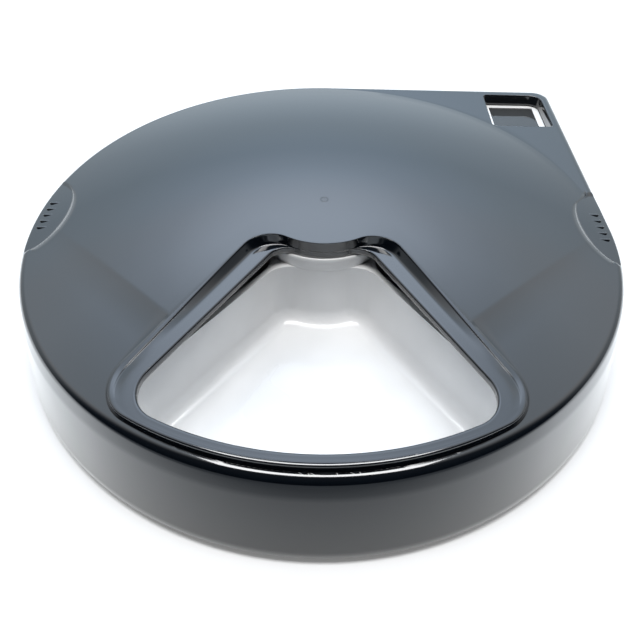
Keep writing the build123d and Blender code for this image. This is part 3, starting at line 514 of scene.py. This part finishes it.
beyond = distance_out(bead_outer) - 95
bead_top = ball_cap(bead_outer) + 0.03 * (beyond + np.hypot(beyond, 14))
bead_top = bead_top * (1 - front) + ledge(bead_outer) * front
bead_width = np.hypot(*(bead_outer - bead_inner).T)
inner_top = bead_top - 0.12 * bead_width * (1 - front)
inner_edge = np.minimum(0.35, bead_width * 0.45)
foot_height = dome(frame_foot)
outer_round = 0.35 + 0.95 * front
outer_edge = np.minimum(0.35 + 0.15 * front, 0.5 * np.maximum(bead_top - foot_height, 0))
wall_low, wall_high = ledge(wall_foot), inner_top - inner_edge * (1 - front)
for step in range(15):
    t = step / 14
    height = wall_low + (wall_high - wall_low) * rise(t)
    rows.append(row(between(wall_foot, bead_inner, t), height))
for step in range(1, 5):
    turn = math.pi / 2 * step / 4
    share = inner_edge * (1 - math.cos(turn)) / bead_width
    rows.append(row(between(bead_inner, bead_outer, share[:, None]),
                    wall_high + (inner_top - wall_high) * math.sin(turn)))
for step in range(9):
    turn = math.pi / 2 * step / 8
    share = 1 - np.minimum(outer_round, 0.92 * bead_width) * (1 - math.sin(turn)) / bead_width
    rows.append(row(between(bead_inner, bead_outer, share[:, None]),
                    bead_top - outer_edge * (1 - math.cos(turn))))
slope_top = bead_top - outer_edge
for step in range(1, 9):
    t = step / 8
    height = slope_top + (foot_height - slope_top) * (1 - (1 - t) ** 1.25)
    rows.append(row(between(bead_outer, frame_foot, t), height))

# %% thumb scallops
rim_fillet = 4.3
rim_inner = rim(rim_radius - rim_fillet)
scallop_reach, scallop_half, scallop_depth = 17.5, 29.5, 0.8


def in_scallop(points):
    """Below 1 inside either oval at the lid's sides."""
    return ((np.abs(points[:, 0]) - rim_radius) / scallop_reach) ** 2 + (
        points[:, 1] / scallop_half) ** 2


def edge_along_columns(outside):
    """How far along each column from the frame to the rim a line is crossed, by halving."""
    low, high = np.full(len(bearings), 0.3), np.ones(len(bearings))
    for _ in range(30):
        middle = (low + high) / 2
        short = outside(between(frame_foot, rim_inner, middle[:, None]))
        low, high = np.where(short, middle, low), np.where(short, high, middle)
    return high


def feature_share():
    """The share at which a column meets the oval's edge, or else the dome's edge."""
    oval = edge_along_columns(lambda points: in_scallop(points) > 1)
    cap = edge_along_columns(lambda points: distance_out(points) < dome_edge)
    return np.where(in_scallop(rim_inner) < 1, oval, np.minimum(cap, 0.975))


edge_share = feature_share()
length = np.hypot(*(rim_inner - frame_foot).T)
half_step = np.minimum(0.35 / length, 0.004)


def sunk(points, heights):
    """Lower the surface to the scallop's floor where it lies inside an oval."""
    depth = scallop_depth * (in_scallop(points) < 1)
    ball = apex_height - ball_radius + np.sqrt(
        ball_radius ** 2 - points[:, 0] ** 2 - points[:, 1] ** 2)
    return np.where(depth > 0, np.minimum(heights, ball - depth), heights)


for step in range(1, 21):
    share = (edge_share - half_step) * (step / 20) ** 0.9
    place = between(frame_foot, rim_inner, share[:, None])
    rows.append(row(place, dome(place)))
for step in range(0, 13):
    share = edge_share + half_step + (1 - edge_share - half_step) * step / 12
    place = between(frame_foot, rim_inner, np.minimum(share, 1)[:, None])
    rows.append(row(place, sunk(place, dome(place))))

# %% rim and skirt
flare = 8.4 / 44
fillet_turn = math.radians(81.6)
foot_radius, foot_top, skirt_wall = 154.3, 4.6, 2.2
for step in range(1, 9):
    turn = fillet_turn * step / 8
    out = rim(rim_radius - rim_fillet + rim_fillet * math.sin(turn))
    height = rim_height - rim_fillet * (1 - math.cos(turn))
    rows.append(row(out, sunk(out, np.full(len(out), height))))
fillet_end = rim_height - rim_fillet * (1 - math.cos(fillet_turn))
for step in range(1, 13):
    height = fillet_end + (foot_top - fillet_end) * step / 12
    out = rim(rim_radius + (rim_height - height) * flare - 0.04)
    rows.append(row(out, height))
for inset, height in ((0.2, 4.15), (0.6, 4.0), (1.6, 4.0), (2.0, 4.15)):
    rows.append(row(rim(foot_radius - inset), height))
inside_low, inside_high = 5.0, 44.0
for step in range(6):
    height = inside_low + (inside_high - inside_low) * step / 5
    rows.append(row(rim(rim_radius + (rim_height - height) * flare - skirt_wall), height))

# %% underside
inner_dome_edge = rim(rim_radius - 4.5)
rows.append(row(rim(rim_radius - 2.5), rim_height - skirt_wall - 0.5))
rows.append(row(inner_dome_edge, rim_height - skirt_wall))
collar = wedge(33.5, 14.7, 30.6, 141.4, 15.6, 19.0)
for step in range(1, 15):
    place = between(inner_dome_edge, collar, step / 14)
    rows.append(row(place, dome(place) - skirt_wall))
collar_low = np.minimum(dome(collar) - skirt_wall, lip_bottom) - 0.01
for step in range(1, 4):
    rows.append(row(collar, between(dome(collar) - skirt_wall, collar_low, step / 3)))
rows.append(row(between(collar, opening, 0.5), np.minimum(collar_low, lip_bottom)))
heights = np.array([r[:, 2] for r in rows])
print("rows of the lid:", len(rows), "highest:", round(float(heights.max()), 2))

# %% [markdown]
# ## Joining rows into a skin
# Two neighbouring rows make one ring of four-sided faces. Because the last row joins the first,
# the lid is one closed skin, like a stretched doughnut, and can be cut cleanly later.

# %% lid mesh
def loop_skin(name, rows, closed=True):
    count = len(rows[0])
    points = np.concatenate(rows) * MM
    faces = []
    last = len(rows) if closed else len(rows) - 1
    for i in range(last):
        a, b = i * count, (i + 1) % len(rows) * count
        for j in range(count):
            k = (j + 1) % count
            faces.append((a + j, b + j, b + k, a + k))
    return add_mesh(name, points, faces)


def outward(made):
    """Make every face of a closed mesh point out."""
    mesh = bmesh.new()
    mesh.from_mesh(made.data)
    bmesh.ops.remove_doubles(mesh, verts=mesh.verts, dist=1e-7)
    bmesh.ops.recalc_face_normals(mesh, faces=mesh.faces)
    mesh.to_mesh(made.data)
    volume = mesh.calc_volume(signed=True)
    mesh.free()
    return volume


lid = loop_skin("lid_skin", rows)
print("lid volume in cm3:", round(outward(lid) * 1e6, 1), "faces:", len(lid.data.polygons))

# %% [markdown]
# ## The window well
# The display sits deep under the lid's corner, so a square funnel is let into the flat corner.
# A hole in a flat face is simplest as a Boolean cut. Its edges are marked sharp, because smooth
# shading across them would leave waves on the flat. The funnel's own walls, with their rounded
# edge, are a separate skin that stands just inside the hole.

# %% well
well_low, well_high = (102.2, 98.9), (139.4, 138.2)
well_round, well_outer_round = 2.5, 7.0
hole_grow, wall_grow, throat_grow, well_floor = 0.8, 0.78, -0.05, 41.4


def rounded_box(low, high, grow, per_corner=9):
    """A square with small rounded corners, and one larger one at the lid's own corner."""
    points = []
    for side_x, side_y, start in ((1, -1, -90), (1, 1, 0), (-1, 1, 90), (-1, -1, 180)):
        rounding = max(0.6, (well_outer_round if side_x + side_y == 2 else well_round) + grow)
        x = (high[0] + grow if side_x > 0 else low[0] - grow) - side_x * rounding
        y = (high[1] + grow if side_y > 0 else low[1] - grow) - side_y * rounding
        for i in range(per_corner):
            t = math.radians(start + 90 * i / (per_corner - 1))
            points.append((x + rounding * math.cos(t), y + rounding * math.sin(t)))
    return np.array(points)


def well_level(grow, height):
    return row(rounded_box(well_low, well_high, grow), height)


cutter = loop_skin("well_cutter", [well_level(hole_grow, 40.0), well_level(hole_grow, 49.0)],
                   closed=False)
under_plate = 0.045
cut = bmesh.new()
cut.from_mesh(cutter.data)
for upper in (False, True):
    ring = [e for e in cut.edges if e.is_boundary and (e.verts[0].co.z > under_plate) == upper]
    bmesh.ops.contextual_create(cut, geom=ring)
bmesh.ops.recalc_face_normals(cut, faces=cut.faces)
cut.to_mesh(cutter.data)
cut.free()
hole = lid.modifiers.new("well_hole", "BOOLEAN")
hole.operation, hole.solver, hole.object = "DIFFERENCE", "EXACT", cutter
bpy.context.view_layer.update()
graph = bpy.context.evaluated_depsgraph_get()
cut_mesh = bpy.data.meshes.new_from_object(lid.evaluated_get(graph))
lid.modifiers.remove(hole)
lid.data = cut_mesh
bpy.data.objects.remove(cutter)
lid.data.name = "lid_skin"
corner_from, sharp_from = 0.095, math.radians(50)
marked = bmesh.new()
marked.from_mesh(lid.data)
for edge in marked.edges:
    at = edge.verts[0].co
    near_well = min(at.x, at.y) > corner_from and at.z > under_plate
    if near_well and edge.calc_face_angle(0) > sharp_from:
        edge.smooth = False
marked.to_mesh(lid.data)
marked.free()
print("lid faces after the cut:", len(lid.data.polygons))

# %% well walls
slope = 0.3 / 6.6
levels = [well_level(wall_grow, 44.5), well_level(wall_grow, rim_height)]
for step in range(1, 6):
    turn = math.pi / 2 * step / 5
    grow = wall_grow - (wall_grow - throat_grow) * math.sin(turn)
    levels.append(well_level(grow, rim_height - 1 + math.cos(turn)))
for height in (45.0, 43.2, 41.6):
    levels.append(well_level(-slope * (rim_height - height), height))
levels.append(well_level(-0.25, well_floor))
levels.append(well_level(wall_grow, well_floor))
well_walls = loop_skin("window_well", levels)
print("well volume in cm3:", round(outward(well_walls) * 1e6, 2))

# %% [markdown]
# ## Small marks on the lid
# A moulded lid shows where the plastic flowed in: a tiny ring with a nub at the crown. The thumb
# scallops carry five short grip ridges each. The ridges repeat, so a Geometry Nodes tree lays one
# bar out along a line and makes it real.

# %% gate mark
def turned(name, profile, steps=40):
    """A closed ring turned about the Z axis from radius and height pairs."""
    ring_rows = []
    for radius, height in profile:
        angles = np.arange(steps) * 2 * math.pi / steps
        ring_rows.append(np.column_stack([radius * np.cos(angles), radius * np.sin(angles),
                                          np.full(steps, height)]))
    return loop_skin(name, ring_rows)


gate = turned("gate_mark", [(1.5, 60.55), (1.5, 60.87), (1.65, 60.97), (1.9, 60.97),
                            (2.05, 60.85), (2.05, 60.55)])
outward(gate)
nub = turned("gate_nub", [(0.02, 60.55), (0.02, 60.95), (0.45, 60.9), (0.6, 60.75),
                          (0.6, 60.55)], 24)
outward(nub)

# %% ridge tree
def ridge_tree():
    """Bars laid out along Y: length, width, rise, pitch and count are the tree's inputs."""
    tree = bpy.data.node_groups.new("grip_ridges", "GeometryNodeTree")
    face = tree.interface
    face.new_socket(name="Geometry", in_out="OUTPUT", socket_type="NodeSocketGeometry")
    for name, value in (("Bar length", 0.008), ("Bar width", 0.0014), ("Bar rise", 0.0012),
                        ("Pitch", 0.005)):
        made = face.new_socket(name=name, in_out="INPUT", socket_type="NodeSocketFloat")
        made.default_value = value
    number = face.new_socket(name="Count", in_out="INPUT", socket_type="NodeSocketInt")
    number.default_value = 5
    place = face.new_socket(name="Place", in_out="INPUT", socket_type="NodeSocketVector")
    paint = face.new_socket(name="Finish", in_out="INPUT", socket_type="NodeSocketMaterial")
    nodes, links = tree.nodes, tree.links
    inputs, outputs = nodes.new("NodeGroupInput"), nodes.new("NodeGroupOutput")
    size = nodes.new("ShaderNodeCombineXYZ")
    links.new(inputs.outputs["Bar length"], size.inputs[0])
    links.new(inputs.outputs["Bar width"], size.inputs[1])
    links.new(inputs.outputs["Bar rise"], size.inputs[2])
    bar = nodes.new("GeometryNodeMeshCube")
    links.new(size.outputs[0], bar.inputs["Size"])
    for name in ("Vertices X", "Vertices Y", "Vertices Z"):
        bar.inputs[name].default_value = 3
    smooth = nodes.new("GeometryNodeSubdivisionSurface")
    smooth.inputs["Level"].default_value = 2
    links.new(bar.outputs["Mesh"], smooth.inputs["Mesh"])
    line = nodes.new("GeometryNodeMeshLine")
    links.new(inputs.outputs["Count"], line.inputs["Count"])
    offset = nodes.new("ShaderNodeCombineXYZ")
    links.new(inputs.outputs["Pitch"], offset.inputs[1])
    links.new(inputs.outputs["Place"], line.inputs["Start Location"])
    links.new(offset.outputs[0], line.inputs["Offset"])
    copies = nodes.new("GeometryNodeInstanceOnPoints")
    links.new(line.outputs["Mesh"], copies.inputs["Points"])
    links.new(smooth.outputs["Mesh"], copies.inputs["Instance"])
    real = nodes.new("GeometryNodeRealizeInstances")
    links.new(copies.outputs["Instances"], real.inputs["Geometry"])
    painted = nodes.new("GeometryNodeSetMaterial")
    links.new(real.outputs["Geometry"], painted.inputs["Geometry"])
    links.new(inputs.outputs["Finish"], painted.inputs["Material"])
    links.new(painted.outputs["Geometry"], outputs.inputs["Geometry"])
    return tree


# %% ridges
def run_tree(name, tree, settings):
    """Run a Geometry Nodes tree once and keep its result as a plain mesh."""
    carrier = bpy.data.objects.new(name, bpy.data.meshes.new(name))
    bpy.context.scene.collection.objects.link(carrier)
    modifier = carrier.modifiers.new("tree", "NODES")
    modifier.node_group = tree
    for item in tree.interface.items_tree:
        if item.in_out == "INPUT" and item.name in settings:
            modifier[item.identifier] = settings[item.name]
    graph = bpy.context.evaluated_depsgraph_get()
    made = bpy.data.meshes.new_from_object(carrier.evaluated_get(graph))
    carrier.modifiers.remove(modifier)
    carrier.data = made
    made.shade_smooth()
    return carrier


tree = ridge_tree()
ridge_sets = []
for side in (-1, 1):
    at = (side * 0.138, -0.010, 0.04742)
    ridges = run_tree(f"grip_ridges_{'left' if side < 0 else 'right'}", tree,
                      {"Place": at, "Finish": finish["lid_plastic"]})
    ridge_sets.append(ridges)
print("ridge faces:", [len(r.data.polygons) for r in ridge_sets])

# %% hand the lid over
for piece in [lid, well_walls, gate, nub]:
    piece.data.materials.clear()
    piece.data.materials.append(finish["lid_plastic"])
for piece in [lid, well_walls, gate, nub] + ridge_sets:
    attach(piece, "lid")
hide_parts("lid_shell")

# %% [markdown]
# ## The parts that come from the CAD model
# The other parts keep their CAD shape. A copy of a CAD mesh with its loose triangles merged can
# be shaded smooth up to a set angle, which makes round edges look round. The tray, which shows
# through the opening, is treated this way; the rest only get their finish.

# %% smooth copies
def smooth_copy(node, body, slot_name, angle=28):
    source = bpy.data.objects[node]
    piece = bpy.data.objects.new(node + "_skin", source.data.copy())
    bpy.context.scene.collection.objects.link(piece)
    mesh = bmesh.new()
    mesh.from_mesh(piece.data)
    bmesh.ops.remove_doubles(mesh, verts=mesh.verts, dist=1e-6)
    for edge in mesh.edges:
        edge.smooth = edge.calc_face_angle(0) < math.radians(angle)
    for face in mesh.faces:
        face.smooth = True
    mesh.to_mesh(piece.data)
    mesh.free()
    piece.data.materials.clear()
    piece.data.materials.append(finish[slot_name])
    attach(piece, body)
    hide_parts(node)
    return piece


tray = smooth_copy("five_bowl_tray", "tray", "tray_plastic")
print("tray faces:", len(tray.data.polygons))

# %% [markdown]
# ## The collar round the tray's hub
# Right under the lid's inner end the tray shows a sharp white edge, so it rises there to just
# below the lid. The CAD model leaves this thin ring out, and it is turned here.

# %% hub collar
collar_ring = turned("tray_collar", [
    (32.7, 44.9), (32.7, 51.0), (32.9, 51.4), (33.3, 51.5), (33.9, 51.4), (34.3, 51.0),
    (34.5, 50.2), (34.6, 44.9)], 120)
outward(collar_ring)
collar_ring.data.materials.append(finish["tray_plastic"])
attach(collar_ring, "tray")

# %% [markdown]
# ## Finishes for the parts inside
# These nodes keep their meshes as they are, and each gets the finish of its material.

# %% finishes for the other nodes
slots = {
    "base_tub": "base_plastic", "duct_cover": "base_plastic", "foot_ring": "rubber",
    "corner_foot": "rubber", "left_cooling_pack": "gel_pack", "right_cooling_pack": "gel_pack",
    "filler_plugs": "white_plastic", "battery_door": "base_plastic",
    "battery_cells": "cell_jacket", "battery_contacts": "plated_steel",
    "control_panel": "base_plastic", "display_frame": "white_plastic",
    "display_lens": "clear_plastic", "display_glass": "display_glass",
    "display_carrier": "white_plastic", "circuit_board": "board", "panel_screws": "steel",
    "timer_chip": "black_plastic", "buzzer": "black_plastic", "button_1": "button_plastic",
    "button_2": "button_plastic", "button_3": "button_plastic",
    "switch_bodies": "black_plastic", "switch_plungers": "button_plastic",
    "drive_hub": "gear_plastic", "second_gear": "gear_plastic", "first_gear": "gear_plastic",
    "motor_pinion": "gear_plastic", "motor_shaft": "steel", "gear_plate": "base_plastic",
    "gear_axles": "steel", "gear_case": "base_plastic", "gear_case_screws": "steel",
    "index_sensor": "black_plastic", "motor_can": "plated_steel",
    "motor_end_cap": "white_plastic", "motor_screws": "steel", "hub_clip": "steel",
    "red_motor_lead": "red_insulation", "black_motor_lead": "black_insulation",
    "sensor_lead": "black_insulation", "battery_leads": "black_insulation",
}
for node, slot_name in slots.items():
    part = bpy.data.objects[node]
    part.data.materials.clear()
    part.data.materials.append(finish[slot_name])
print("CAD nodes finished:", len(slots))
